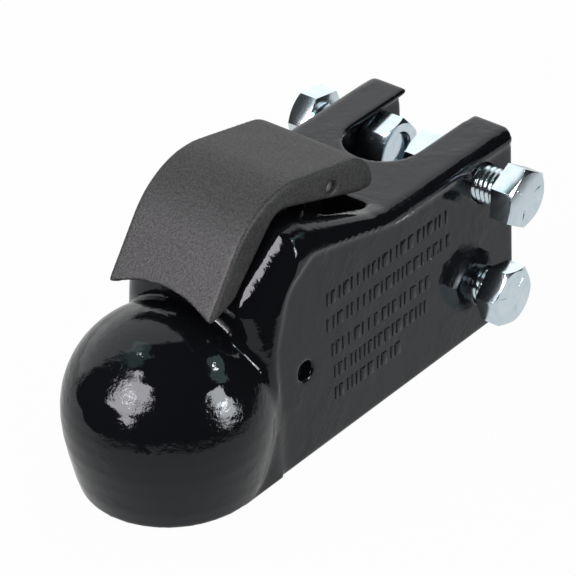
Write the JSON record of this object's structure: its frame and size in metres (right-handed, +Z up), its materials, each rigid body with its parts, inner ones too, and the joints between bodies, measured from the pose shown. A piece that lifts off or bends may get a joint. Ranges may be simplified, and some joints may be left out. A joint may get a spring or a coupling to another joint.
{
  "type": "trailer coupling head",
  "caption": "Cast channel-mount trailer coupling head with a ball socket, a lift-up latch handle that frees the jaw, and cross bolts through two rear ears.",
  "frame": {"origin": "centre of the tow ball that the socket takes", "axes": "+Y back along the drawbar to the mounting ears, +X to the right seen from the nose, +Z up"},
  "size_m": [0.1173, 0.2205, 0.1215],
  "materials": {
    "casting_paint": "high-gloss black enamel over a rough casting",
    "cover_plastic": "fine-grained matte black moulding",
    "zinc_plate": "bright blue-white zinc plating",
    "bare_steel": "machined steel, lightly oiled"
  },
  "bodies": {
    "casting": {"housing": "casting_paint", "handle_pin": "bare_steel", "left_pin_clip": "zinc_plate", "right_pin_clip": "zinc_plate", "left_spacer": "zinc_plate", "right_spacer": "zinc_plate", "handle_spring": "bare_steel", "jaw_pin": "bare_steel", "upper_bolt": "zinc_plate", "lower_bolt": "zinc_plate", "far_upper_bolt": "zinc_plate", "far_lower_bolt": "zinc_plate", "upper_lock_washer": "zinc_plate", "lower_lock_washer": "zinc_plate", "upper_nut": "zinc_plate", "lower_nut": "zinc_plate", "far_upper_nut": "zinc_plate", "far_lower_nut": "zinc_plate"},
    "handle": {"handle_cover": "cover_plastic", "handle_lever": "bare_steel", "cover_screws": "zinc_plate"},
    "wedge": {"lock_wedge": "bare_steel", "wedge_pin": "zinc_plate"},
    "jaw": {"jaw": "bare_steel"}
  },
  "joints": [
    {"name": "handle_lift", "type": "hinge", "parent": "casting", "child": "handle", "pos_m": [0, 0.0735, 0.0739], "axis": [-1, 0, 0], "range_deg": [0, 45], "stiffness_Nm_per_rad": 0.35, "springref_deg": -34.38, "deforming": ["handle_spring"]},
    {"name": "wedge_slide", "type": "slide", "parent": "casting", "child": "wedge", "axis": [0, 0, 1], "range_m": [0, 0.0207]},
    {"name": "jaw_swing", "type": "hinge", "parent": "casting", "child": "jaw", "pos_m": [0, 0.0406, 0.0087], "axis": [1, 0, 0], "range_deg": [0, 18]}
  ],
  "couplings": [
    {"joint": "wedge_slide", "follows": "handle_lift", "m_per_rad": 0.026356},
    {"joint": "jaw_swing", "follows": "handle_lift", "ratio": 0.4}
  ]
}
